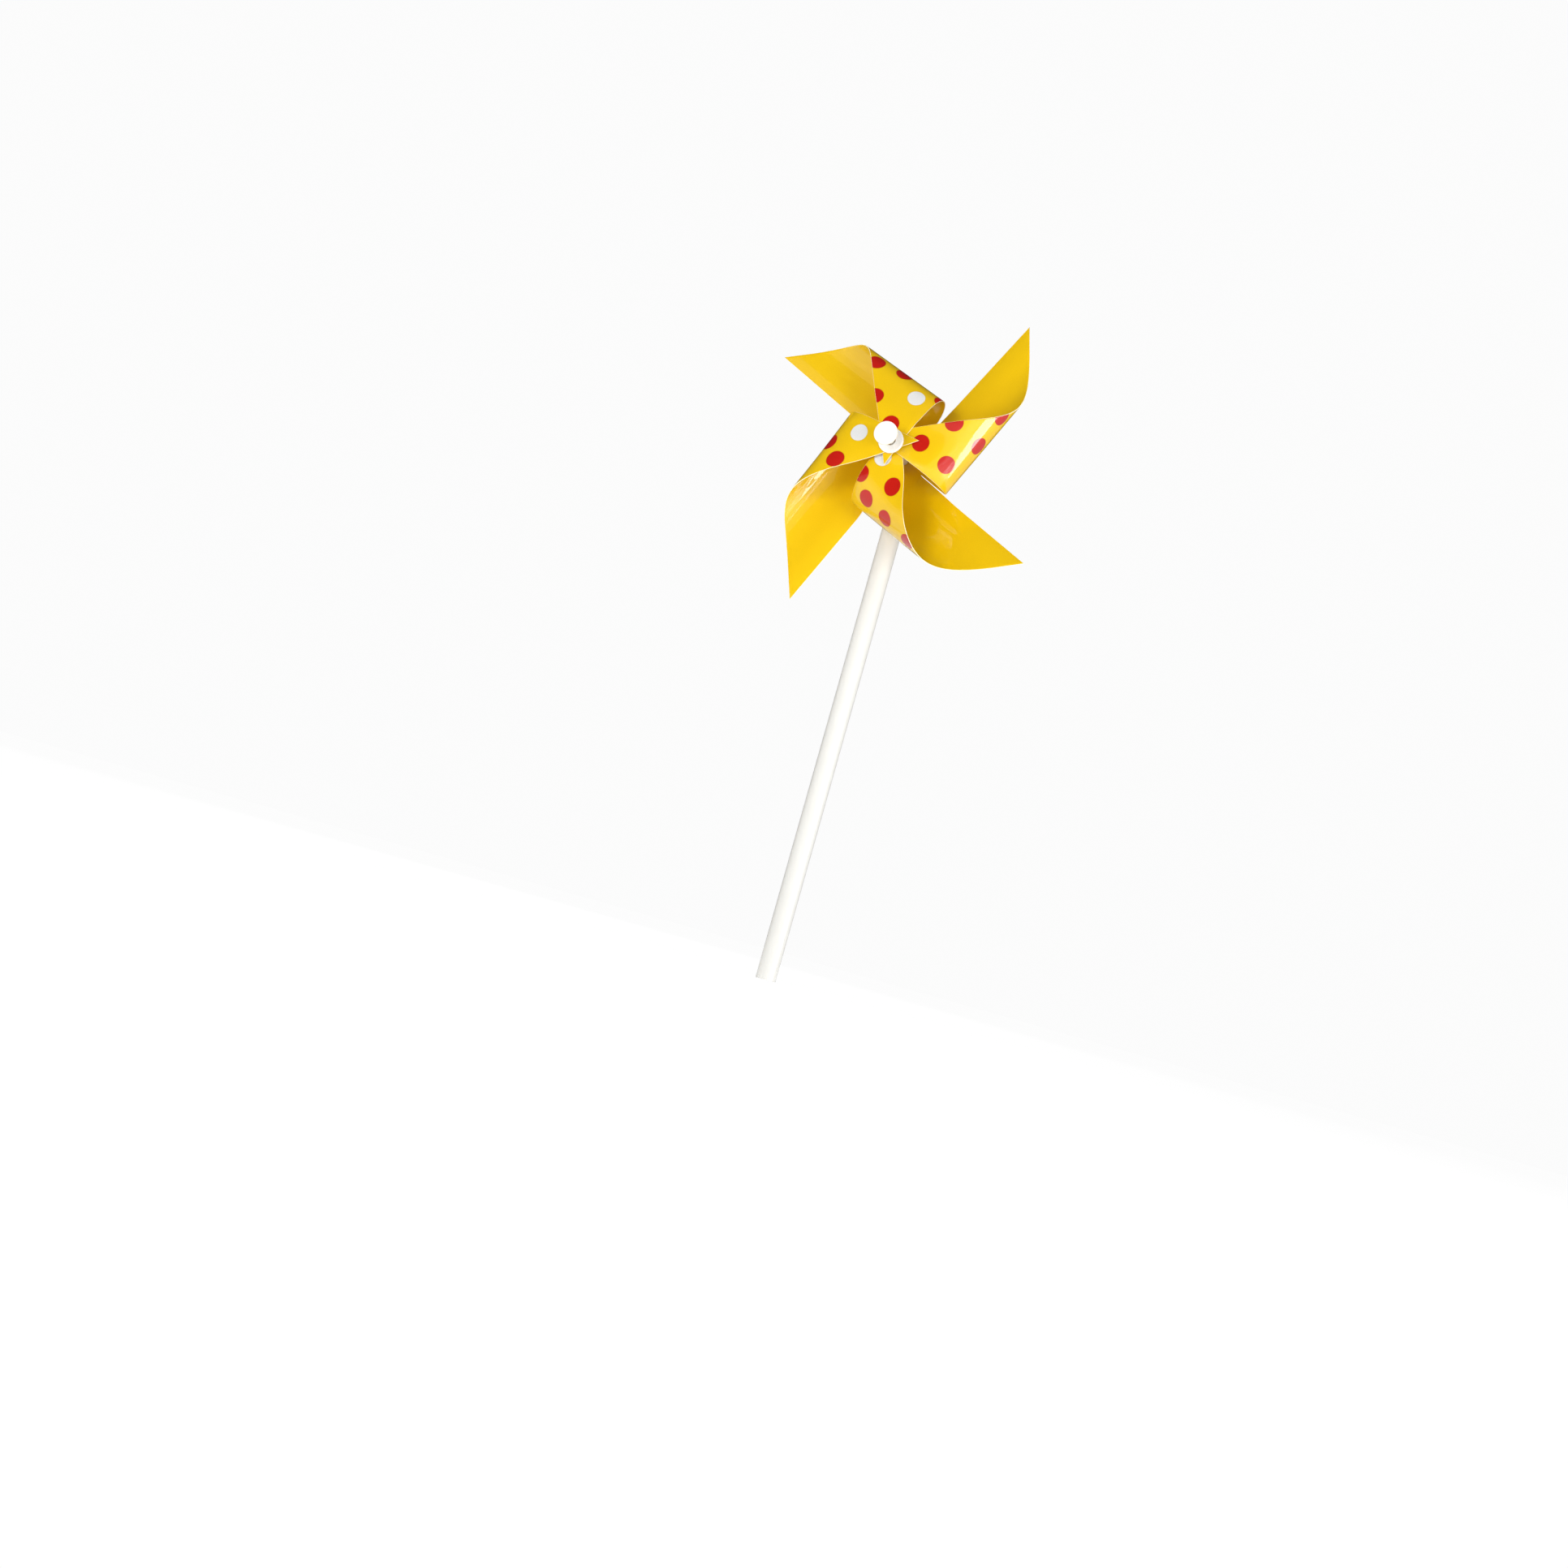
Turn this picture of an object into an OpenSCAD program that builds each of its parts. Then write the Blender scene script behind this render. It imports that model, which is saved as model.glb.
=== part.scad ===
// Toy pinwheel on a stick.
// One square of printed card is cut in from its four corners. Every second
// corner is curled over to the middle and threaded on a pin, which is held in
// the top of a plastic tube.
// Frame: origin at the centre of the stick's bottom end, +Z up the stick,
// the axle runs along Y and the wheel faces -Y.

/* [Card] */
// Side of the square card before it is folded
sheet_side = 100; // [90:1:110]
// Thickness of the card
card_t = 0.3; // [0.25:0.05:0.35]
// Length of each corner cut that is left uncut at the middle
uncut = 9; // [8:0.5:10]
// Width of each cut
kerf = 0.24; // [0.2:0.02:0.3]
// Height of the folded corners in front of the card's middle
tip_lift = 20.2; // [18:0.1:22]
// Step between the stacked corners
tip_step = 0.6; // [0.4:0.05:0.6]
// Turn of the wheel on the pin at rest
rest_turn = 28.7; // [0:0.1:89]

/* [Pin and washers] */
// Height of the axle above the stick's bottom end
axle_z = 210; // [180:1:230]
// Diameter of the pin's shaft
shaft_d = 2.7; // [2.4:0.1:3]
// Radial running clearance on the shaft
run_gap = 0.075; // [0.05:0.005:0.1]
// Diameter of the pin's disc head
head_d = 9.1; // [8:0.1:10]
// Thickness of the pin's head at its rim
head_t = 1.3; // [1:0.1:2]
// Diameter of the front washer
washer_d = 9.8; // [9:0.1:11]
// Diameter of the front washer's hole
washer_hole = 3.9; // [3.4:0.1:4.2]
// Thickness of the front washer
washer_t = 1.2; // [0.8:0.1:1.6]
// Gap between the washer and the pin's head
head_gap = 6.8; // [5:0.1:8]
// Length of the rear spacer bead
spacer_l = 3.5; // [3:0.1:6]
// Diameter of the rear spacer bead
spacer_d = 6; // [5:0.1:7]
// Length of the lock cap behind the stick
cap_l = 4.2; // [3.5:0.1:6]
// Diameter of the lock cap
cap_d = 5.6; // [5:0.1:7]

/* [Stick] */
// Outer diameter of the stick
stick_d = 8; // [6:0.1:9]
// Wall of the stick
stick_wall = 0.9; // [0.6:0.1:1.2]
// Length of the stick above the axle
stick_top = 8; // [6:0.5:12]

/* [Hidden] */

// Half of the card's diagonal, from its middle to a corner
half_diag = sheet_side / sqrt(2);
face_gap = 0.15;
sheet_f = stick_d / 2 + face_gap + spacer_l + 0.2 + card_t / 2;
washer_f = sheet_f + tip_lift + 3 * tip_step + card_t / 2 + face_gap;
head_f = washer_f + washer_t + head_gap;

// Blade by blade, clockwise from the upper left: how widely the curl's bend
// is spread, the slant of the fold, the forward bend of the outer tip, the
// sideways set of the blade, the distance from the middle to the hole in the
// folded corner along the card, and the corner's place in the stack (0 is the
// rearmost). A curl is a little conical: the last two are how widely the bend
// is spread cone_at further out, and how far the fold has moved there.
BLADES = [
    [29.6, 3.0, 0.0, 0.1, 61.8, 2, 29.0, -0.8],
    [24.5, 2.1, 1.0, 0.6, 62.1, 1, 33.9, 2.0],
    [17.7, 3.3, 14.5, 0.9, 62.6, 0, 28.3, 2.4],
    [28.2, 4.7, 2.9, -3.9, 61.2, 3, 22.3, 3.3]
];
cone_at = 50;
// The folded corner itself is flat, so that the corners stack: where along the
// card, and how far out, the cone begins to fade in, and over what length
flat_from = 38;
cone_from = 8;
fade_len = 14;
// Where the sideways set of a blade begins, from the middle, and over what length
turn_from = 14;
turn_len = 16;
// The counter-bend that brings each folded corner flat on the stack
counter_w = 8;
counter_back = 17;
// Start and length of the outer tip's forward bend
bend_from = 8;
bend_len = 30;

COLS = 42;
ROWS = 9;
STEP_N = 76;
S0 = -1;
S1 = half_diag + 5;
DS = (S1 - S0) / STEP_N;

function bump(t) = abs(t) < 1 ? (1 + cos(180 * t)) / 2 : 0;
// Bend of the curl at distance s along the card, degrees per mm
function bend(s, at, c, w, r) =
    ((180 + c * counter_w) / w) * bump((s - at) / w)
    - c * bump((s - r + counter_back) / counter_w);
// Profile of a curl as a list of [tilt, reach, height]
function profile(at, c, w, r) = [
    for (i = 0, th = 0, x = S0, h = 0, tm = 0;
         i <= STEP_N;
         tm = th + bend(S0 + (i + 0.5) * DS, at, c, w, r) * DS / 2,
         x = x + cos(tm) * DS, h = h + sin(tm) * DS,
         th = th + bend(S0 + (i + 0.5) * DS, at, c, w, r) * DS, i = i + 1)
    [th, x, h]];
function at_s(p, s) =
    let (q = min(max((s - S0) / DS, 0), STEP_N - 0.0001), i = floor(q), f = q - i)
    p[i] * (1 - f) + p[i + 1] * f;
// Fold position that brings the hole back over the middle
function solve_at(c, w, r, lo, hi, n) =
    let (mid = (lo + hi) / 2)
    n == 0 ? mid :
    at_s(profile(mid, c, w, r), r)[1] > 0
        ? solve_at(c, w, r, lo, mid, n - 1) : solve_at(c, w, r, mid, hi, n - 1);
// Counter-bend that brings the hole to its height in the stack
function solve_c(w, r, h, lo, hi, n) =
    let (mid = (lo + hi) / 2, at = solve_at(mid, w, r, 15, 45, 14))
    n == 0 ? [at, mid] :
    at_s(profile(at, mid, w, r), r)[2] > h
        ? solve_c(w, r, h, mid, hi, n - 1) : solve_c(w, r, h, lo, mid, n - 1);

function ease(x) = let (t = min(max(x, 0), 1)) t * t * (3 - 2 * t);
function fore(v) = v < bend_from ? 0 :
    v < bend_from + bend_len ? pow(v - bend_from, 2) / (2 * bend_len)
    : bend_len / 2 + v - bend_from - bend_len;
function fore2(v) = v < bend_from ? 0 :
    v < bend_from + bend_len ? pow(v - bend_from, 3) / (3 * bend_len * bend_len)
    : bend_len / 3 + v - bend_from - bend_len;

// Point of the curled card for flat coordinates u, v of one blade, on the
// side given by off (+1 front, -1 back of the flat card)
function card_point(b, p, u, v, off) =
    let (sl = BLADES[b][1],
         u1 = u * cos(sl) + v * sin(sl),
         v1 = -u * sin(sl) + v * cos(sl),
         m = v1 / cone_at * (1 - ease((u1 - flat_from) / fade_len)
                                 * (1 - ease((v1 - cone_from) / fade_len))),
         q = at_s(p[0], u1) * (1 - m) + at_s(p[1], u1) * m,
         br = BLADES[b][2] * PI / 180,
         o = off * card_t / 2,
         x = q[1] - o * sin(q[0]),
         y = v1 - br * br / 2 * fore2(v1),
         z = q[2] + o * cos(q[0]) + br * fore(v1),
         bx = x * cos(sl) - y * sin(sl),
         by = x * sin(sl) + y * cos(sl),
         g = rest_turn + 90 * (b - 1)
             + BLADES[b][3] * ease((norm([u, v]) - turn_from) / turn_len))
    [bx * cos(g) + by * sin(g), -bx * sin(g) + by * cos(g), z];

// Flat grid of one blade: column i runs away from the outer tip's cut, row j
// from the next cut to the card's edge
function col_u(i) = i == 0 ? 0 : i == 1 ? uncut :
    uncut + (half_diag - kerf / 2 - uncut) * (i - 1) / (COLS - 1);
function row_f(j) = j == 0 ? 0 :
    (uncut + (half_diag - uncut) * (j - 1) / (ROWS - 1)) / half_diag;
function flat_uv(i, j) =
    let (u = i == 0 && j > 1 ? kerf / 2 : col_u(i),
         v0 = i > 1 ? kerf / 2 : 0)
    [u, i == 0 ? row_f(j) * half_diag - (j == ROWS ? kerf / 2 : 0)
               : v0 + (half_diag - u - v0) * row_f(j)];

PER = (COLS + 1) * (ROWS + 1);
SIDE = 5 + 4 * PER;
// Index of a grid point: the middle and the four ends of the uncut parts are
// shared by neighbouring blades, and the last column is one point
function gi(b, i, j) =
    i == 0 && j == 0 ? 0 :
    i == 0 && j == 1 ? 1 + b :
    i == 1 && j == 0 ? 1 + (b + 1) % 4 :
    5 + b * PER + i * (ROWS + 1) + (i == COLS ? 0 : j);

function side_points(profs, off) = concat(
    [card_point(0, profs[0], 0, 0, off)],
    [for (b = [0:3]) card_point(b, profs[b], 0, uncut, off)],
    [for (b = [0:3], i = [0:COLS], j = [0:ROWS])
        let (f = flat_uv(i, j)) card_point(b, profs[b], f[0], f[1], off)]);

function side_faces() = [
    for (b = [0:3], i = [0:COLS - 1], j = [0:ROWS - 1], k = [0, 1])
        let (p = gi(b, i, j), q = gi(b, i + 1, j), r = gi(b, i + 1, j + 1), s = gi(b, i, j + 1),
             t = k == 0 ? [p, s, r] : [p, r, q])
        if (t[0] != t[1] && t[1] != t[2] && t[0] != t[2]) t];

// Rim of the card, blade by blade, as a run of grid points
function rim(b) = concat(
    [for (i = [1:COLS]) gi(b, i, 0)],
    [for (i = [COLS - 1:-1:0]) gi(b, i, ROWS)],
    [for (j = [ROWS - 1:-1:1]) gi(b, 0, j)]);

module card_solid() {
    profs = [for (b = [0:3])
        let (w = BLADES[b][0], r = BLADES[b][4],
             s = solve_c(w, r, tip_lift + tip_step * BLADES[b][5], -10, 12, 16))
        [profile(s[0], s[1], w, r), profile(s[0] + BLADES[b][7], s[1], BLADES[b][6], r)]];
    faces_f = side_faces();
    faces_b = [for (t = faces_f) [t[0] + SIDE, t[2] + SIDE, t[1] + SIDE]];
    rims = [for (b = [0:3]) let (r = rim(b)) for (i = [0:len(r) - 2], k = [0, 1])
        k == 0 ? [r[i], r[i + 1], r[i + 1] + SIDE] : [r[i], r[i + 1] + SIDE, r[i] + SIDE]];
    polyhedron(points = concat(side_points(profs, 1), side_points(profs, -1)),
               faces = concat(faces_f, faces_b, rims), convexity = 10);
}

// Local frame of the axle: +z is the front of the wheel
module on_axle() translate([0, 0, axle_z]) rotate([90, 0, 0]) children();

module pinwheel_sheet() color("gold") on_axle() difference() {
    translate([0, 0, sheet_f]) card_solid();
    translate([0, 0, sheet_f - 3]) cylinder(d = shaft_d + 2 * run_gap, h = tip_lift + 6, $fn = 48);
}

module front_washer() color("white") on_axle() translate([0, 0, washer_f])
    rotate_extrude($fn = 96) polygon([
        [washer_hole / 2, 0], [washer_d / 2 - 0.15, 0], [washer_d / 2, 0.15],
        [washer_d / 2, washer_t - 0.3], [washer_d / 2 - 0.3, washer_t],
        [washer_hole / 2 + 0.15, washer_t], [washer_hole / 2, washer_t - 0.15]]);

module axle_pin() color("white") on_axle() {
    translate([0, 0, head_f]) rotate_extrude($fn = 96) polygon(concat(
        [[0, 0], [head_d / 2 - 0.2, 0], [head_d / 2, 0.2], [head_d / 2, head_t - 0.3]],
        [for (a = [0:15:90]) [head_d / 2 - 0.3 + 0.3 * cos(a), head_t - 0.3 + 0.3 * sin(a)]],
        [for (i = [1:6]) let (r = (head_d / 2 - 0.3) * (1 - i / 6))
            [r, head_t + 0.35 * (1 - pow(r / (head_d / 2 - 0.3), 2))]]));
    translate([0, 0, -stick_d / 2 - cap_l + 0.9])
        cylinder(d = shaft_d, h = head_f + stick_d / 2 + cap_l - 0.9, $fn = 48);
}

module rear_spacer() color("white") on_axle()
    translate([0, 0, stick_d / 2 + face_gap]) difference() {
        rotate_extrude($fn = 64) polygon([
            [0, 0], [spacer_d / 2 - 0.4, 0], [spacer_d / 2, 0.4],
            [spacer_d / 2, spacer_l - 0.4], [spacer_d / 2 - 0.4, spacer_l], [0, spacer_l]]);
        translate([0, 0, -1]) cylinder(d = shaft_d + 2 * run_gap, h = spacer_l + 2, $fn = 48);
    }

module lock_cap() color("white") on_axle() difference() {
    translate([0, 0, -stick_d / 2 - cap_l]) rotate_extrude($fn = 64) polygon(concat(
        [[0, cap_l], [0, 0]],
        [for (a = [0:15:90]) [cap_d / 2 - 1 + sin(a), 1 - cos(a)]],
        [[cap_d / 2, cap_l - 1], [cap_d / 2 + 0.5, cap_l - 0.8], [cap_d / 2 + 0.5, cap_l]]));
    translate([0, 0, -stick_d / 2 - cap_l + 0.8])
        cylinder(d = shaft_d - 0.04, h = cap_l, $fn = 48);
}

module stick_tube() color("white") difference() {
    cylinder(d = stick_d, h = axle_z + stick_top, $fn = 96);
    translate([0, 0, -1]) cylinder(d = stick_d - 2 * stick_wall, h = axle_z + stick_top + 2, $fn = 96);
    on_axle() translate([0, 0, -stick_d]) cylinder(d = shaft_d - 0.04, h = 2 * stick_d, $fn = 48);
}

pinwheel_sheet();
front_washer();
axle_pin();
rear_spacer();
lock_cap();
stick_tube();
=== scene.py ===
import bpy, bmesh, math
import numpy as np
from mathutils import Matrix, Vector


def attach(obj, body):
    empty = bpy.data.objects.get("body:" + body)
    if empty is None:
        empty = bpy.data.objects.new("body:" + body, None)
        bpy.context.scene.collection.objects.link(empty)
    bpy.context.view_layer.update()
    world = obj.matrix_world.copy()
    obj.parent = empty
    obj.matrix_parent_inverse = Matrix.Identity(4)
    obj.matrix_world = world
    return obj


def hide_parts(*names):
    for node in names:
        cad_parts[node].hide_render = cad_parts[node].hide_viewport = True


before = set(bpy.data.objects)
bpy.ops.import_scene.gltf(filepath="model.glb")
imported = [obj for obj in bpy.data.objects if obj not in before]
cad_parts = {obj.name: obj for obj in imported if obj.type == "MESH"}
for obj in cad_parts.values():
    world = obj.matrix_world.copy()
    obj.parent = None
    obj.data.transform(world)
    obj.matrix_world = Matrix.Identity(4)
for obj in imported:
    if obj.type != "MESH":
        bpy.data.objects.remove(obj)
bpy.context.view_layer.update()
MM = 0.001

# ---------------------------------------------------------------- sizes (mm)
# The same rules and numbers as the CAD model, so that the finer card follows
# the same surface.
SIDE = 100.0
HALF = SIDE / math.sqrt(2)
CARD_T = 0.3
UNCUT = 9.0
KERF = 0.24
LIFT = 20.2
STEP = 0.6
REST = 28.7
AXLE_Z = 210.0
SHAFT_D = 2.7
RUN_GAP = 0.075
SHEET_F = 8.0
CONE_AT = 50.0
BLADES = [
    (29.6, 3.0, 0.0, 0.1, 61.8, 2, 29.0, -0.8),
    (24.5, 2.1, 1.0, 0.6, 62.1, 1, 33.9, 2.0),
    (17.7, 3.3, 14.5, 0.9, 62.6, 0, 28.3, 2.4),
    (28.2, 4.7, 2.9, -3.9, 61.2, 3, 22.3, 3.3),
]
COUNTER_W, COUNTER_BACK = 8.0, 17.0
S0, S1, STEP_N = -1.0, HALF + 5, 76
DS = (S1 - S0) / STEP_N


# ------------------------------------------------------------- card geometry
def bump(t):
    return np.where(np.abs(t) < 1, 0.5 * (1 + np.cos(np.pi * t)), 0.0)


def bend(s, at, c, w, r):
    return np.radians(((180 + c * COUNTER_W) / w) * bump((s - at) / w)
                      - c * bump((s - r + COUNTER_BACK) / COUNTER_W))


def profile(at, c, w, r):
    s = S0 + np.arange(STEP_N + 1) * DS
    k = bend(S0 + (np.arange(STEP_N) + 0.5) * DS, at, c, w, r)
    th = np.concatenate([[0], np.cumsum(k * DS)])
    tm = th[:-1] + k * DS / 2
    x = S0 + np.concatenate([[0], np.cumsum(np.cos(tm) * DS)])
    h = np.concatenate([[0], np.cumsum(np.sin(tm) * DS)])
    return s, th, x, h


def solve(w, r, height):
    def fold(c):
        lo, hi = 15.0, 45.0
        for _ in range(14):
            m = (lo + hi) / 2
            s, th, x, h = profile(m, c, w, r)
            if np.interp(r, s, x) > 0:
                hi = m
            else:
                lo = m
        return (lo + hi) / 2
    lo, hi = -10.0, 12.0
    for _ in range(16):
        m = (lo + hi) / 2
        s, th, x, h = profile(fold(m), m, w, r)
        if np.interp(r, s, h) > height:
            lo = m
        else:
            hi = m
    c = (lo + hi) / 2
    return fold(c), c


def spline(xs, ys):
    """Smooth curve through evenly spaced samples (Catmull-Rom)."""
    def at(q):
        q = np.clip((np.asarray(q, float) - xs[0]) / (xs[1] - xs[0]), 0, len(xs) - 1.000001)
        i = np.floor(q).astype(int)
        f = q - i
        p0 = ys[np.maximum(i - 1, 0)]
        p1, p2 = ys[i], ys[i + 1]
        p3 = ys[np.minimum(i + 2, len(ys) - 1)]
        return 0.5 * (2 * p1 + (p2 - p0) * f + (2 * p0 - 5 * p1 + 4 * p2 - p3) * f ** 2
                      + (3 * p1 - p0 - 3 * p2 + p3) * f ** 3)
    return at


PROFILES = []
for w, sl, br, tw, r, order, w2, shift in BLADES:
    at, c = solve(w, r, LIFT + STEP * order)
    PROFILES.append([])
    for s, th, x, h in (profile(at, c, w, r), profile(at + shift, c, w2, r)):
        PROFILES[-1].append((spline(s, th), spline(s, x), spline(s, h)))


def ease(x):
    x = np.clip(x, 0, 1)
    return x * x * (3 - 2 * x)


def fore(v):
    return np.where(v < 8, 0, np.where(v < 38, (v - 8) ** 2 / 60, 15 + v - 38))


def fore2(v):
    return np.where(v < 8, 0, np.where(v < 38, (v - 8) ** 3 / 2700, 10 + v - 38))


def card_point(b, u, v, off):
    """Place of flat point (u, v) of blade b, metres; off is -1..1 through the thickness."""
    u, v = np.asarray(u, float), np.asarray(v, float)
    w, sl, br, tw, r, order, w2, shift = BLADES[b]
    sl, br = math.radians(sl), math.radians(br)
    u1 = u * math.cos(sl) + v * math.sin(sl)
    v1 = -u * math.sin(sl) + v * math.cos(sl)
    # the folded corner itself is flat, so that the corners stack
    m = v1 / CONE_AT * (1 - ease((u1 - 38) / 14) * (1 - ease((v1 - 8) / 14)))
    th, x, h = ((1 - m) * near(u1) + m * far(u1) for near, far in zip(*PROFILES[b]))
    o = off * CARD_T / 2
    x = x - o * np.sin(th)
    y = v1 - br * br / 2 * fore2(v1)
    z = h + o * np.cos(th) + br * fore(v1)
    bx = x * math.cos(sl) - y * math.sin(sl)
    by = x * math.sin(sl) + y * math.cos(sl)
    g = np.radians(REST + 90 * (b - 1) + tw * ease((np.hypot(u, v) - 14) / 16))
    lx = bx * np.cos(g) + by * np.sin(g)
    ly = -bx * np.sin(g) + by * np.cos(g)
    return np.stack([lx, -(SHEET_F + z), AXLE_Z + ly], -1) * MM


def build_card():
    cols, rows = 150, 44
    inset = 0.05
    half_i, kerf_i = HALF - inset * 1.6, KERF / 2 + inset

    def grid(half, kerf, off):
        """Vertex places and flat coordinates of one side."""
        pts, flat = [], []
        for b in range(4):
            i = np.arange(cols + 1)[:, None].astype(float)
            j = np.arange(rows + 1)[None, :].astype(float)
            u = np.where(i == 0, 0.0, UNCUT + (half - kerf - UNCUT) * (i - 1) / (cols - 1)) + 0 * j
            fj = np.where(j == 0, 0.0, (UNCUT + (HALF - UNCUT) * (j - 1) / (rows - 1)) / HALF)
            u = np.where((i == 0) & (j > 1), kerf, u)
            v0 = np.where(i > 1, kerf, 0.0)
            v = np.where(i == 0, fj * half - np.where(j == rows, kerf, 0.0),
                         v0 + (half - u - v0) * fj)
            v = np.maximum(v, 0)
            pts.append(card_point(b, u, v, off).reshape(-1, 3))
            a = math.radians(90 * b)
            fx = u * math.cos(a) + v * math.sin(a)
            fy = -u * math.sin(a) + v * math.cos(a)
            flat.append(np.stack([fx, fy], -1).reshape(-1, 2))
        return pts, flat

    bm = bmesh.new()
    uv_layer = bm.loops.layers.uv.new("flat")

    def sheet(half, kerf, off):
        pts, flat = grid(half, kerf, off)
        vs = []
        mid = bm.verts.new(pts[0][0])
        ends = [bm.verts.new(pts[b][1]) for b in range(4)]
        mid_flat = flat[0][0]
        end_flat = [flat[b][1] for b in range(4)]
        table, where = {}, {}
        where[mid] = mid_flat
        for b in range(4):
            where[ends[b]] = end_flat[b]
        for b in range(4):
            for i in range(cols + 1):
                for j in range(rows + 1):
                    n = i * (rows + 1) + j
                    if i == 0 and j == 0:
                        v = mid
                    elif i == 0 and j == 1:
                        v = ends[b]
                    elif i == 1 and j == 0:
                        v = ends[(b + 1) % 4]
                    elif i == cols and j > 0:
                        v = table[(b, cols, 0)]
                    else:
                        v = bm.verts.new(pts[b][n])
                        where[v] = flat[b][n]
                    table[(b, i, j)] = v
        return table, where

    front, wf = sheet(half_i, kerf_i, 1.0)
    back, wb = sheet(half_i, kerf_i, -1.0)

    def faces(table, where, flip, mat):
        for b in range(4):
            for i in range(cols):
                for j in range(rows):
                    q = [table[(b, i, j)], table[(b, i + 1, j)], table[(b, i + 1, j + 1)], table[(b, i, j + 1)]]
                    p = []
                    for v in q:
                        if v not in p:
                            p.append(v)
                    if len(p) < 3:
                        continue
                    if flip:
                        p = p[::-1]
                    f = bm.faces.new(p)
                    f.material_index = mat
                    f.smooth = True
                    for l in f.loops:
                        l[uv_layer].uv = where[l.vert] * MM

    # seen from the front of the flat card (u to the right of v, clockwise),
    # anticlockwise order is u, then v
    faces(front, wf, False, 0)
    faces(back, wb, True, 1)

    # the cut rim: two rings at the true outline, between the two faces
    def rim_keys(b):
        return ([(b, i, 0) for i in range(1, cols + 1)]
                + [(b, i, rows) for i in range(cols - 1, -1, -1)]
                + [(b, 0, j) for j in range(rows - 1, 0, -1)])

    pf, ff = grid(HALF, KERF / 2, 0.72)
    pb, fb = grid(HALF, KERF / 2, -0.72)
    rings = []
    for pts, flat in ((pf, ff), (pb, fb)):
        t, w = {}, {}
        for b in range(4):
            for key in rim_keys(b):
                _, i, j = key
                n = i * (rows + 1) + j
                # the ends of the cuts belong to two blades
                if i == 0 and j == 1:
                    same = (b, 0, 1)
                elif i == 1 and j == 0:
                    same = ((b + 1) % 4, 0, 1)
                else:
                    same = key
                if same not in t:
                    v = bm.verts.new(pts[b][n])
                    t[same] = v
                    w[v] = flat[b][n]
                t[key] = t[same]
        rings.append((t, w))
    for b in range(4):
        keys = rim_keys(b)
        for k1, k2 in zip(keys[:-1], keys[1:]):
            ladder = [(front, wf), rings[0], rings[1], (back, wb)]
            for n, ((ta, wa), (tb, wb_)) in enumerate(zip(ladder[:-1], ladder[1:])):
                p = []
                for v in (ta[k2], ta[k1], tb[k1], tb[k2]):
                    if v not in p:
                        p.append(v)
                if len(p) < 3:
                    continue
                f = bm.faces.new(p)
                f.material_index = 2
                f.smooth = True
                for l in f.loops:
                    l[uv_layer].uv = (wa.get(l.vert) if l.vert in wa else wb_[l.vert]) * MM
    bmesh.ops.recalc_face_normals(bm, faces=bm.faces)
    bm.normal_update()
    me = bpy.data.meshes.new("printed_card")
    bm.to_mesh(me)
    bm.free()
    ob = bpy.data.objects.new("printed_card", me)
    bpy.context.scene.collection.objects.link(ob)
    return ob


# ------------------------------------------------------------ node utilities
def new_material(name):
    m = bpy.data.materials.new(name)
    m.use_nodes = True
    nt = m.node_tree
    b = nt.nodes["Principled BSDF"]
    return m, nt, b


def N(nt, kind, **kw):
    n = nt.nodes.new(kind)
    for k, v in kw.items():
        setattr(n, k, v)
    return n


def math_node(nt, op, a, b=None, clamp=False):
    n = N(nt, "ShaderNodeMath", operation=op, use_clamp=clamp)
    for i, s in enumerate((a, b)):
        if s is None:
            continue
        if isinstance(s, (int, float)):
            n.inputs[i].default_value = s
        else:
            nt.links.new(s, n.inputs[i])
    return n.outputs[0]


def mix_color(nt, fac, a, b, mode="MIX"):
    n = N(nt, "ShaderNodeMix", data_type="RGBA", blend_type=mode)
    for sock, s in ((n.inputs["Factor"], fac), (n.inputs[6], a), (n.inputs[7], b)):
        if isinstance(s, (int, float)):
            sock.default_value = s
        elif isinstance(s, tuple):
            sock.default_value = s if len(s) == 4 else s + (1.0,)
        else:
            nt.links.new(s, sock)
    return n.outputs[2]


def noise(nt, coord, scale, detail=2.0, rough=0.5):
    n = N(nt, "ShaderNodeTexNoise")
    n.inputs["Scale"].default_value = scale
    n.inputs["Detail"].default_value = detail
    n.inputs["Roughness"].default_value = rough
    if coord is not None:
        nt.links.new(coord, n.inputs["Vector"])
    return n.outputs["Fac"]


def srgb(r, g, b):
    def f(c):
        c = c / 255
        return c / 12.92 if c <= 0.04045 else ((c + 0.055) / 1.055) ** 2.4
    return (f(r), f(g), f(b))


# ------------------------------------------------------------------ materials
RED, WHITE = 0, 1
# Printed dots on the back of the card: place in the flat sheet (mm from its
# middle), size and colour. The first group is seen on the curled corners.
SEEN_DOTS = [
    (37.0, 30.6, RED), (34.2, 19.0, RED), (50.0, 21.0, RED), (35.7, -0.9, RED),
    (56.3, 8.2, RED), (41.7, 7.4, WHITE),
    (21.9, -48.1, RED), (35.2, -34.7, RED), (21.4, -34.0, RED), (8.5, -52.7, RED),
    (8.0, -39.7, RED),
    (-46.3, -0.3, RED), (-49.2, -14.7, RED), (-39.3, -7.2, RED), (-37.8, -18.5, RED),
    (-35.8, -32.0, RED), (-55.9, -4.1, WHITE),
    (-7.3, 47.4, WHITE), (-14.7, 37.4, RED), (-20.4, 45.3, RED), (-30.0, 31.3, WHITE),
]


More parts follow.
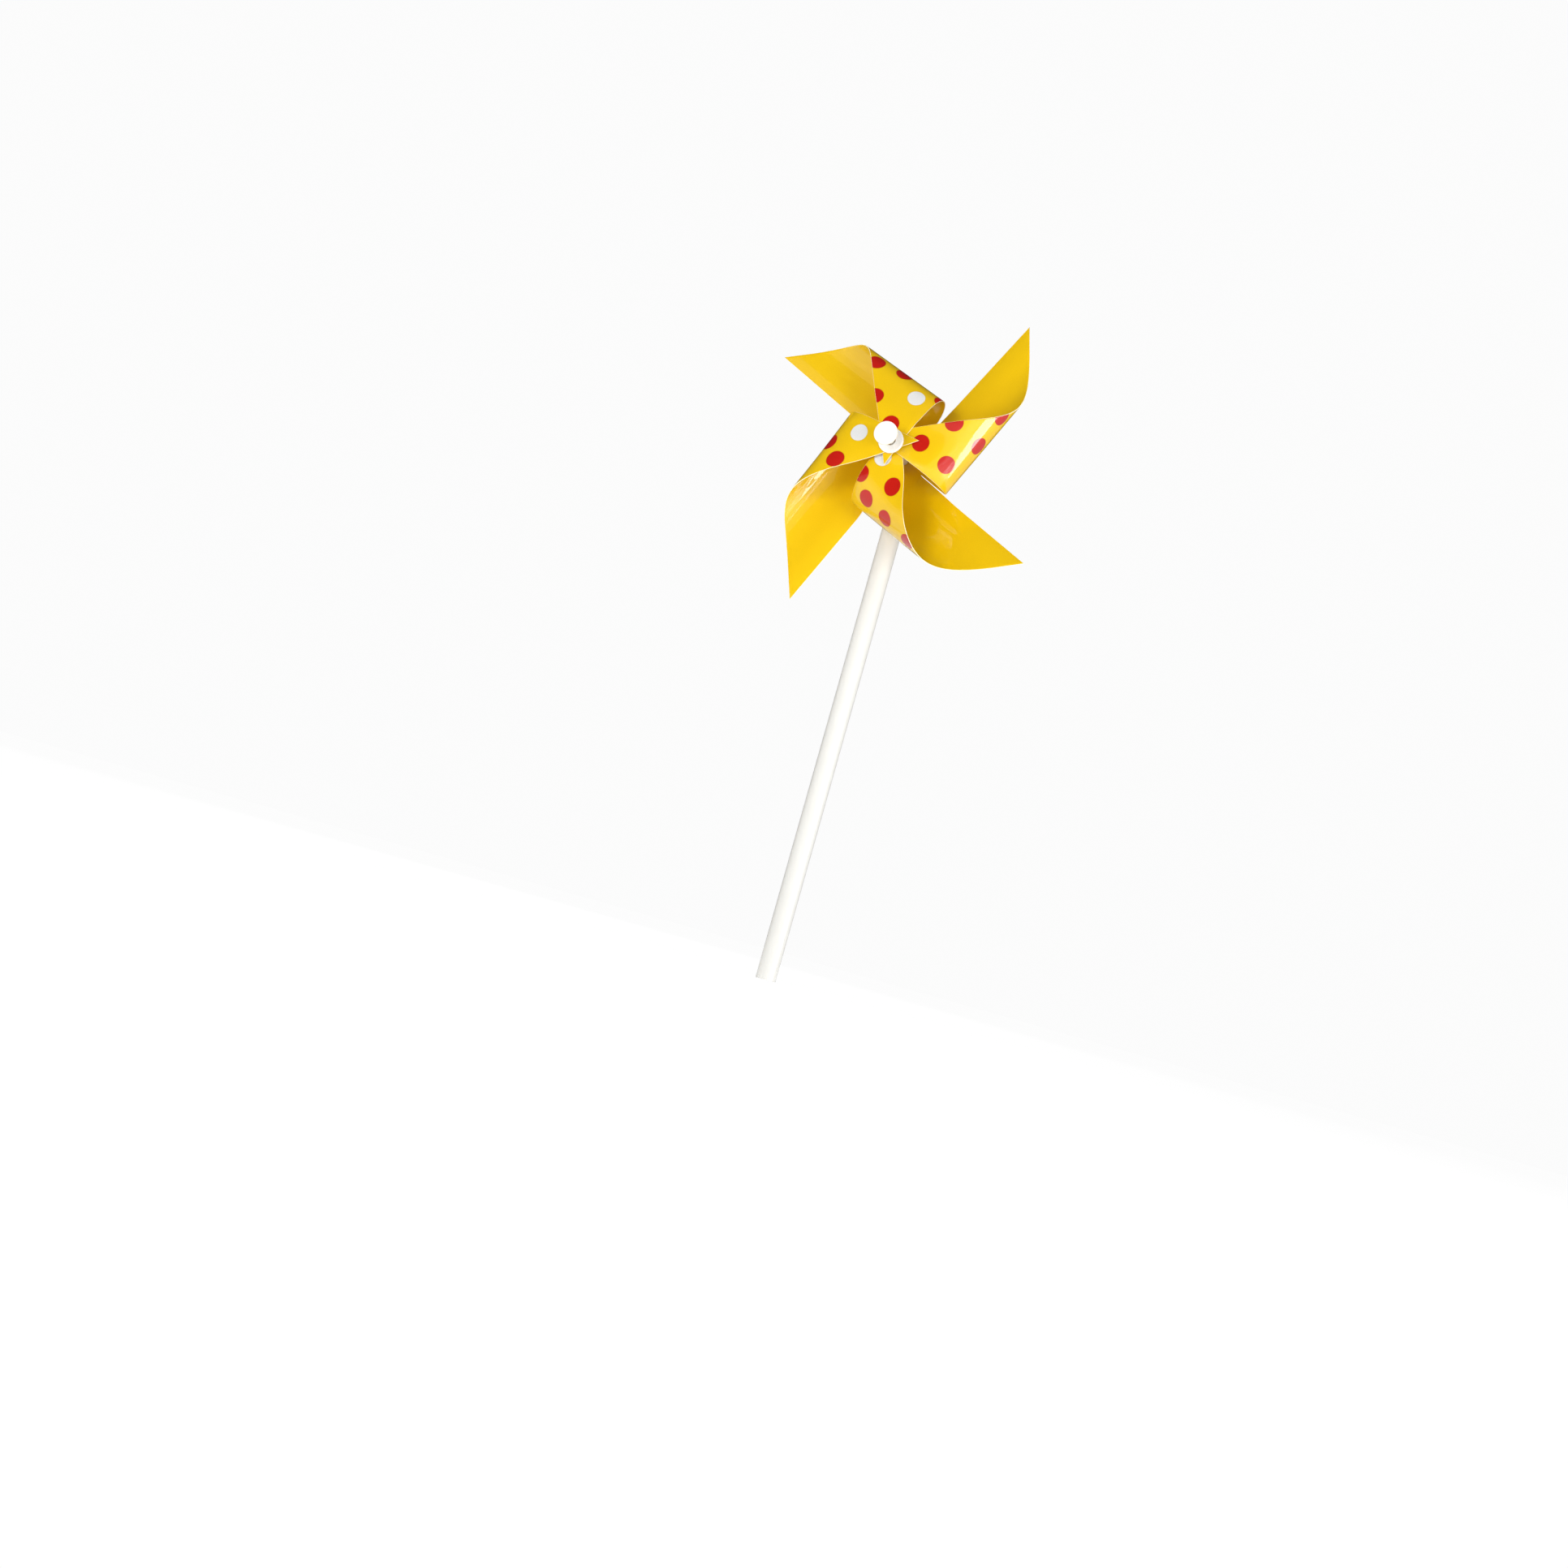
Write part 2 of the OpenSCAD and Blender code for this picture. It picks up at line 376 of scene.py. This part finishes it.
def all_dots():
    """The seen dots, and the rest of the sheet filled at the same spacing."""
    dots = [(x, y, k) for x, y, k in SEEN_DOTS]
    rng = np.random.RandomState(11)
    cand = []
    for i in range(-9, 10):
        for j in range(-9, 10):
            x = (i + 0.5 * (j % 2)) * 12.6 + rng.uniform(-1.9, 1.9)
            y = j * 11.2 + rng.uniform(-1.9, 1.9)
            k = WHITE if rng.uniform() < 0.27 else RED
            if abs(x) + abs(y) < HALF + 2.5:
                cand.append((x, y, k))
    def on_flap(x, y):
        for b in range(4):
            a = math.radians(90 * b)
            u = x * math.cos(a) - y * math.sin(a)
            v = x * math.sin(a) + y * math.cos(a)
            if u > 27 and v > -4:
                return True
        return False
    for x, y, k in cand:
        if min(math.hypot(x - a, y - b) for a, b, _ in dots) > 10.3 and not on_flap(x, y):
            dots.append((x, y, k))
    return dots


def card_face_material(name, dotted):
    m, nt, b = new_material(name)
    uv = N(nt, "ShaderNodeUVMap", uv_map="flat").outputs[0]
    yellow = srgb(*YELLOW)
    # print: a fine mottle and a little slow drift of the ink
    fine = noise(nt, uv, 2600.0, 2.0, 0.6)
    slow = noise(nt, uv, 60.0, 2.0, 0.5)
    v = math_node(nt, "MULTIPLY_ADD", fine, 0.17)
    v.node.inputs[2].default_value = 0.915
    v2 = math_node(nt, "MULTIPLY_ADD", slow, 0.05)
    v2.node.inputs[2].default_value = 0.975
    hsv = N(nt, "ShaderNodeHueSaturation")
    hsv.inputs["Color"].default_value = yellow + (1,)
    nt.links.new(math_node(nt, "MULTIPLY", v, v2), hsv.inputs["Value"])
    color = hsv.outputs[0]
    if dotted:
        sep = N(nt, "ShaderNodeSeparateXYZ")
        nt.links.new(uv, sep.inputs[0])
        wob = noise(nt, uv, 1800.0, 1.0)
        dist = {RED: None, WHITE: None}
        for x, y, k in all_dots():
            r = RED_R if k == RED else WHITE_R
            dx = math_node(nt, "SUBTRACT", sep.outputs[0], x * MM)
            dy = math_node(nt, "SUBTRACT", sep.outputs[1], y * MM)
            d = math_node(nt, "SQRT", math_node(nt, "ADD", math_node(nt, "MULTIPLY", dx, dx),
                                               math_node(nt, "MULTIPLY", dy, dy)))
            d = math_node(nt, "SUBTRACT", d, r * MM)
            dist[k] = d if dist[k] is None else math_node(nt, "MINIMUM", dist[k], d)
        for k, ink in ((RED, srgb(*RED_INK)), (WHITE, srgb(*WHITE_INK))):
            d = math_node(nt, "ADD", dist[k], math_node(nt, "MULTIPLY", math_node(nt, "SUBTRACT", wob, 0.5), 0.00006))
            inside = math_node(nt, "MULTIPLY_ADD", d, -1 / 0.00007, clamp=True)
            inside.node.inputs[2].default_value = 0.5
            # the trap line where the two inks meet
            near = math_node(nt, "ABSOLUTE", math_node(nt, "ADD", d, -0.00005))
            trap = math_node(nt, "MULTIPLY_ADD", near, -1 / 0.00022, clamp=True)
            trap.node.inputs[2].default_value = 1.0
            ihsv = N(nt, "ShaderNodeHueSaturation")
            ihsv.inputs["Color"].default_value = ink + (1,)
            nt.links.new(v, ihsv.inputs["Value"])
            color = mix_color(nt, inside, color, ihsv.outputs[0])
            dark = mix_color(nt, 1.0, color, (0.62, 0.55, 0.5) if k == RED else (0.72, 0.66, 0.5), "MULTIPLY")
            color = mix_color(nt, math_node(nt, "MULTIPLY", trap, 0.55), color, dark)
    nt.links.new(color, b.inputs["Base Color"])
    b.inputs["Roughness"].default_value = 0.42
    b.inputs["Specular IOR Level"].default_value = 0.25
    b.inputs["Coat Weight"].default_value = 1.0
    b.inputs["Coat Roughness"].default_value = 0.035
    b.inputs["Coat IOR"].default_value = 1.5
    # film: slight orange peel under the gloss
    bump_n = N(nt, "ShaderNodeBump")
    bump_n.inputs["Strength"].default_value = 0.25
    bump_n.inputs["Distance"].default_value = 0.00002
    nt.links.new(noise(nt, uv, 420.0, 3.0, 0.55), bump_n.inputs["Height"])
    nt.links.new(bump_n.outputs[0], b.inputs["Normal"])
    nt.links.new(bump_n.outputs[0], b.inputs["Coat Normal"])
    return m


def edge_material():
    m, nt, b = new_material("card_cut_edge")
    tc = N(nt, "ShaderNodeTexCoord").outputs["Object"]
    f = noise(nt, tc, 3000.0, 3.0, 0.6)
    col = mix_color(nt, f, srgb(252, 240, 190), srgb(255, 252, 230))
    nt.links.new(col, b.inputs["Base Color"])
    b.inputs["Roughness"].default_value = 0.6
    bn = N(nt, "ShaderNodeBump")
    bn.inputs["Strength"].default_value = 0.4
    bn.inputs["Distance"].default_value = 0.00003
    nt.links.new(f, bn.inputs["Height"])
    nt.links.new(bn.outputs[0], b.inputs["Normal"])
    return m


def plastic(name, tint, rough, coat, mottling=0.02, peel=0.00001, stretch=None):
    m, nt, b = new_material(name)
    tc = N(nt, "ShaderNodeTexCoord").outputs["Object"]
    vec = tc
    if stretch:
        mp = N(nt, "ShaderNodeMapping")
        mp.inputs["Scale"].default_value = stretch
        nt.links.new(tc, mp.inputs["Vector"])
        vec = mp.outputs[0]
    slow = noise(nt, vec, 90.0, 3.0, 0.5)
    fine = noise(nt, vec, 1500.0, 2.0, 0.5)
    c0 = srgb(*tint)
    c1 = tuple(c * (1 - mottling * 2) for c in c0)
    col = mix_color(nt, slow, c0, c1)
    nt.links.new(col, b.inputs["Base Color"])
    r = math_node(nt, "MULTIPLY_ADD", fine, 0.08)
    r.node.inputs[2].default_value = rough - 0.04
    nt.links.new(r, b.inputs["Roughness"])
    b.inputs["Coat Weight"].default_value = coat
    b.inputs["Coat Roughness"].default_value = 0.08
    b.inputs["Subsurface Weight"].default_value = 0.12
    b.inputs["Subsurface Radius"].default_value = (1.0, 0.9, 0.8)
    b.inputs["Subsurface Scale"].default_value = 0.001
    bn = N(nt, "ShaderNodeBump")
    bn.inputs["Strength"].default_value = 0.3
    bn.inputs["Distance"].default_value = peel
    nt.links.new(fine, bn.inputs["Height"])
    nt.links.new(bn.outputs[0], b.inputs["Normal"])
    return m


YELLOW = (228, 185, 0)
RED_INK = (186, 18, 4)
WHITE_INK = (221, 221, 220)
RED_R, WHITE_R = 3.4, 3.4


def punch(ob, radius, sides=64):
    """Punch the pin's hole through every layer of the card at the axle."""
    bm = bmesh.new()
    bmesh.ops.create_cone(bm, cap_ends=True, segments=sides, radius1=radius, radius2=radius, depth=0.1)
    for f in bm.faces:
        f.material_index = 2
    me = bpy.data.meshes.new("punch")
    bm.to_mesh(me)
    bm.free()
    for m in ob.data.materials:
        me.materials.append(m)
    tool = bpy.data.objects.new("punch", me)
    bpy.context.scene.collection.objects.link(tool)
    tool.matrix_world = Matrix.Translation((0, -0.02, AXLE_Z * MM)) @ Matrix.Rotation(math.pi / 2, 4, "X")
    mod = ob.modifiers.new("punch", "BOOLEAN")
    mod.operation, mod.solver, mod.object = "DIFFERENCE", "EXACT", tool
    graph = bpy.context.evaluated_depsgraph_get()
    cut = bpy.data.meshes.new_from_object(ob.evaluated_get(graph))
    ob.modifiers.clear()
    old = ob.data
    ob.data = cut
    cut.name = old.name
    bpy.data.meshes.remove(old)
    bpy.data.objects.remove(tool)
    bpy.data.meshes.remove(me)


card = build_card()
for m in (card_face_material("card_front_yellow", False), card_face_material("card_back_dotted", True), edge_material()):
    card.data.materials.append(m)
punch(card, (SHAFT_D / 2 + RUN_GAP) * MM)
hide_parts("pinwheel_sheet")
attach(card, "wheel")

moulded = plastic("white_moulding", (244, 243, 240), 0.28, 0.4)
tube = plastic("white_tube", (228, 227, 222), 0.33, 0.3, stretch=(1, 1, 0.12))
for node, mat in (("axle_pin", moulded), ("front_washer", moulded), ("rear_spacer", moulded),
                  ("lock_cap", moulded), ("stick_tube", tube)):
    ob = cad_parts[node]
    ob.data.materials.clear()
    ob.data.materials.append(mat)

# ---------------------------------------------------------------------- stage
def stage_floor():
    bm = bmesh.new()
    n, size = 24, 20.0
    vs = [[bm.verts.new((size * (i / n * 2 - 1), size * (j / n * 2 - 1), 0)) for j in range(n + 1)] for i in range(n + 1)]
    for i in range(n):
        for j in range(n):
            bm.faces.new((vs[i][j], vs[i + 1][j], vs[i + 1][j + 1], vs[i][j + 1]))
    me = bpy.data.meshes.new("stage_floor")
    bm.to_mesh(me)
    bm.free()
    ob = bpy.data.objects.new("stage_floor", me)
    bpy.context.scene.collection.objects.link(ob)
    m, nt, b = new_material("floor_white")
    tc = N(nt, "ShaderNodeTexCoord").outputs["Object"]
    nt.links.new(mix_color(nt, noise(nt, tc, 5.0), (0.88, 0.88, 0.87), (0.9, 0.9, 0.9)), b.inputs["Base Color"])
    b.inputs["Emission Color"].default_value = (1, 1, 1, 1)
    b.inputs["Emission Strength"].default_value = 0.22
    b.inputs["Roughness"].default_value = 0.9
    b.inputs["Specular IOR Level"].default_value = 0.1
    # the floor is seen as white as the backdrop, with only a faint shadow on it
    white = N(nt, "ShaderNodeEmission")
    white.inputs["Strength"].default_value = 1.02
    seen = math_node(nt, "MULTIPLY", N(nt, "ShaderNodeLightPath").outputs["Is Camera Ray"], 0.92)
    both = N(nt, "ShaderNodeMixShader")
    nt.links.new(seen, both.inputs[0])
    nt.links.new(b.outputs[0], both.inputs[1])
    nt.links.new(white.outputs[0], both.inputs[2])
    nt.links.new(both.outputs[0], nt.nodes["Material Output"].inputs["Surface"])
    ob.data.materials.append(m)


stage_floor()


def area(name, loc, target, size, power, size_y=None, color=(1, 1, 1)):
    l = bpy.data.lights.new(name, "AREA")
    l.energy = power
    l.color = color
    l.shape = "RECTANGLE"
    l.size = size
    l.size_y = size_y or size
    o = bpy.data.objects.new(name, l)
    o.location = loc
    d = Vector(target) - Vector(loc)
    o.rotation_euler = d.to_track_quat("-Z", "Y").to_euler()
    bpy.context.scene.collection.objects.link(o)
    return o


HUB = Vector((0, -0.02, 0.21))


def softbox(name, az, el, dist, width, height, power, color=(1, 1, 1), mirrored=True):
    """Softbox seen from the hub at azimuth az (0 in front, + to the right) and elevation el."""
    a, e = math.radians(az), math.radians(el)
    d = Vector((math.sin(a) * math.cos(e), -math.cos(a) * math.cos(e), math.sin(e)))
    o = area(name, HUB + d * dist, HUB, width, power, height, color)
    o.visible_camera = False
    o.visible_glossy = mirrored
    return o


softbox("key_softbox", -18, -2, 0.9, 0.34, 0.34, 3.6, mirrored=False)
softbox("right_softbox", 46, -6, 0.8, 0.26, 0.26, 1.9, mirrored=False)
softbox("left_softbox", -75, -3, 0.8, 0.32, 0.32, 0.5, mirrored=False)
softbox("side_softbox", 84, -18, 0.5, 0.3, 0.11, 1.1)
softbox("back_softbox", -150, 25, 0.9, 0.4, 0.4, 2.6, mirrored=False)
softbox("top_softbox", 20, 50, 0.9, 0.5, 0.5, 1.0, mirrored=False)

w = bpy.data.worlds.new("studio")
w.use_nodes = True
nt = w.node_tree
bg = nt.nodes["Background"]
bg.inputs[0].default_value = (1, 1, 1, 1)
bg.inputs[1].default_value = 0.32
seen = nt.nodes.new("ShaderNodeBackground")
seen.inputs[0].default_value = (1, 1, 1, 1)
seen.inputs[1].default_value = 0.97
gloss = nt.nodes.new("ShaderNodeBackground")
gloss.inputs[0].default_value = (1, 1, 1, 1)
gloss.inputs[1].default_value = 0.03
ray = nt.nodes.new("ShaderNodeLightPath")
first = nt.nodes.new("ShaderNodeMixShader")
nt.links.new(ray.outputs["Is Glossy Ray"], first.inputs[0])
nt.links.new(bg.outputs[0], first.inputs[1])
nt.links.new(gloss.outputs[0], first.inputs[2])
mixer = nt.nodes.new("ShaderNodeMixShader")
nt.links.new(ray.outputs["Is Camera Ray"], mixer.inputs[0])
nt.links.new(first.outputs[0], mixer.inputs[1])
nt.links.new(seen.outputs[0], mixer.inputs[2])
nt.links.new(mixer.outputs[0], nt.nodes["World Output"].inputs[0])
bpy.context.scene.world = w
bpy.context.scene.view_settings.view_transform = "Standard"

# --------------------------------------------------------------------- camera
az, el, roll = (math.radians(a) for a in (19.44, -5.32, 15.85))
cd = Vector((math.sin(az) * math.cos(el), -math.cos(az) * math.cos(el), math.sin(el)))
F = -cd
right = F.cross(Vector((0, 0, 1))).normalized()
up = right.cross(F)
R = right * math.cos(roll) + up * math.sin(roll)
U = -right * math.sin(roll) + up * math.cos(roll)
cam_data = bpy.data.cameras.new("camera")
cam_data.sensor_width = 36
cam_data.lens = 36 * 2150 / 1932
cam_data.clip_start = 0.01
cam = bpy.data.objects.new("camera", cam_data)
M = Matrix((R, U, -F)).transposed().to_4x4()
M.translation = Vector((212.9, -644.5, 11.9)) * MM
cam.matrix_world = M
bpy.context.scene.collection.objects.link(cam)
bpy.context.scene.camera = cam
